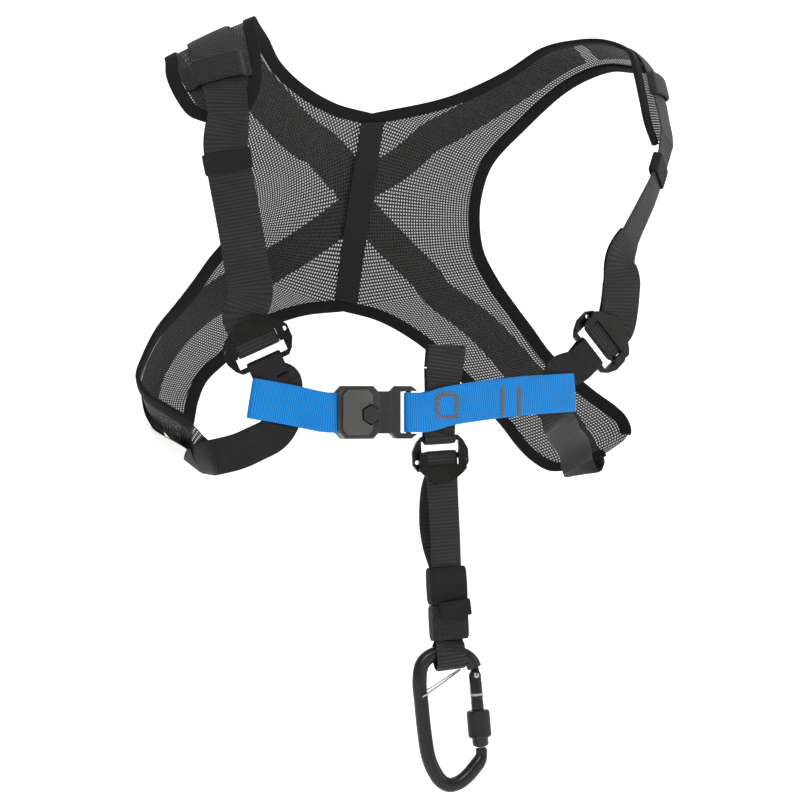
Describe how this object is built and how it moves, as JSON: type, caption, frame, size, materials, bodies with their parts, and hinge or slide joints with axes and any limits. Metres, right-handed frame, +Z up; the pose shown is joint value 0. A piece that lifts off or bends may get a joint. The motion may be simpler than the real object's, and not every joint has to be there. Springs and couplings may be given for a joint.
{
  "type": "climbing chest harness",
  "caption": "Chest harness with mesh back panel, webbing shoulder straps with metal adjusters, coloured chest strap with centre clasp, and a hanging strap that carries a screw gate carabiner.",
  "frame": {"origin": "midway between the two shoulders, where the shoulder caps sit on the wearer", "axes": "+Z up, -Y to the wearer's front, +X to the wearer's left"},
  "size_m": [0.45, 0.1868, 0.5722],
  "materials": {
    "mesh": "open spacer mesh, dark taupe",
    "binding": "smooth woven tape, black",
    "band": "flat polyester webbing, black",
    "webbing": "ribbed polyester webbing, black",
    "pile": "loop pile, black",
    "elastic": "twill elastic, black",
    "blue": "fine polyester webbing, bright blue",
    "label": "satin tape, white",
    "metal": "dark coated steel, satin",
    "anodised": "black anodised, satin",
    "steel": "bright steel",
    "plastic": "dark grey moulded plastic",
    "dark_plastic": "black moulded plastic"
  },
  "bodies": {
    "harness": {"back_mesh_right": "mesh", "back_mesh_left": "mesh", "arm_binding_right": "binding", "arm_binding_left": "binding", "neck_binding": "binding", "hem_binding": "binding", "spine_tape": "band", "back_band_right": "band", "back_band_left": "band", "shoulder_strap_right": "webbing", "shoulder_strap_left": "webbing", "buckle_frame_right": "metal", "buckle_frame_left": "metal", "buckle_plate_right": "metal", "buckle_plate_left": "metal", "cap_keeper_right": "pile", "cap_keeper_left": "pile", "strap_keeper_right": "elastic", "strap_keeper_left": "elastic", "chest_tape_right": "blue", "chest_tape_left": "blue", "clasp_housing": "plastic", "clasp_button": "dark_plastic", "clasp_hook": "dark_plastic", "drop_loop": "webbing", "drop_frame": "metal", "drop_plate": "metal", "drop_strap": "webbing", "drop_sleeve": "elastic", "drop_pad": "pile", "drop_slide": "webbing", "drop_end_loop": "webbing", "care_label": "label"},
    "carabiner": {"carabiner_body": "anodised", "carabiner_rivet": "steel"},
    "gate": {"carabiner_gate": "anodised"},
    "lock_sleeve": {"carabiner_sleeve": "anodised"},
    "keeper_wire": {"carabiner_wire": "steel"}
  },
  "joints": [
    {"name": "carabiner_swing", "type": "hinge", "parent": "harness", "child": "carabiner", "pos_m": [0.00226, -0.04843, -0.44827], "axis": [0.978, -0.2079, 0.02], "range_deg": [-12, 12]},
    {"name": "gate_hinge", "type": "hinge", "parent": "carabiner", "child": "gate", "pos_m": [0.02169, -0.05256, -0.46555], "axis": [0.2079, 0.9781, 0], "range_deg": [0, 22], "stiffness_Nm_per_rad": 0.15},
    {"name": "sleeve_screw", "type": "slide", "parent": "gate", "child": "lock_sleeve", "axis": [0.0833, -0.0177, -0.9964], "range_m": [0, 0.005]},
    {"name": "wire_hinge", "type": "hinge", "parent": "carabiner", "child": "keeper_wire", "pos_m": [-0.01847, -0.04403, -0.48041], "axis": [0.2079, 0.9781, 0], "range_deg": [0, 14], "stiffness_Nm_per_rad": 0.02}
  ]
}
